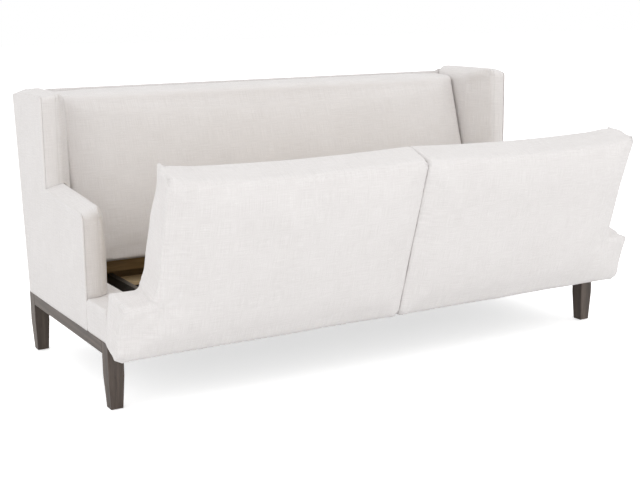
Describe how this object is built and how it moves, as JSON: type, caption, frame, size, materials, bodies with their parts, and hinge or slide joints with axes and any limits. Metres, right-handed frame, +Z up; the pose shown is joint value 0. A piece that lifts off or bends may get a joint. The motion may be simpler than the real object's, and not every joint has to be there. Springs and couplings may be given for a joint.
{
  "type": "loveseat",
  "caption": "Wing-back loveseat on a dark wood base, with a tight back and T-shaped upholstered seats that tip forward on hinges behind the front edge.",
  "frame": {"origin": "on the floor, under the middle of the whole as it stands with its seats tipped forward", "axes": "+X to the right as seen from the front, +Y towards the back, +Z up"},
  "size_m": [1.98, 1.1742, 0.936],
  "materials": {
    "linen_fabric": "matte",
    "seat_fabric": "matte",
    "dark_wood": "satin",
    "frame_wood": "matte",
    "plywood": "matte",
    "dark_bar": "matte",
    "steel": "satin",
    "nylon": "matte",
    "webbing": "matte",
    "dust_cloth": "matte"
  },
  "bodies": {
    "frame": {"leg_front_left": "dark_wood", "leg_front_right": "dark_wood", "leg_rear_left": "dark_wood", "leg_rear_right": "dark_wood", "foot_glides": "nylon", "base_rail_front": "dark_wood", "base_rail_rear": "dark_wood", "base_rail_left": "dark_wood", "base_rail_right": "dark_wood", "dust_cover": "dust_cloth", "front_seat_rail": "frame_wood", "rear_seat_rail": "frame_wood", "rear_floor_rail": "frame_wood", "side_seat_rail_left": "frame_wood", "side_seat_rail_right": "frame_wood", "cross_bars": "dark_bar", "deck_slats": "plywood", "centre_bearer": "plywood", "arm_frame_left": "frame_wood", "arm_frame_right": "frame_wood", "wing_frame_left": "frame_wood", "wing_frame_right": "frame_wood", "outside_panel_left": "linen_fabric", "outside_panel_right": "linen_fabric", "arm_border_left": "linen_fabric", "arm_border_right": "linen_fabric", "wing_border_left": "linen_fabric", "wing_border_right": "linen_fabric", "arm_pad_left": "linen_fabric", "arm_pad_right": "linen_fabric", "wing_pad_left": "linen_fabric", "wing_pad_right": "linen_fabric", "platform_front": "linen_fabric", "platform_ear_left": "linen_fabric", "platform_ear_right": "linen_fabric", "seat_ledge_left": "linen_fabric", "seat_ledge_right": "linen_fabric", "back_ribs": "plywood", "back_top_rail": "frame_wood", "back_webbing": "webbing", "back_pad": "linen_fabric", "outside_back": "linen_fabric", "hinge_brackets": "steel", "hinge_pins": "steel", "bracket_screws": "steel"},
    "seat_left": {"seat_board_left": "plywood", "seat_cushion_left": "seat_fabric", "hinge_arms_left": "steel", "arm_screws_left": "steel"},
    "seat_right": {"seat_board_right": "plywood", "seat_cushion_right": "seat_fabric", "hinge_arms_right": "steel", "arm_screws_right": "steel"}
  },
  "joints": [
    {"name": "seat_left_tip", "type": "hinge", "parent": "frame", "child": "seat_left", "pos_m": [-0.48, -0.26894, 0.282], "axis": [1, 0, 0], "range_deg": [-107.9, 0]},
    {"name": "seat_right_tip", "type": "hinge", "parent": "frame", "child": "seat_right", "pos_m": [0.48, -0.26894, 0.282], "axis": [1, 0, 0], "range_deg": [-107.9, 0]}
  ]
}
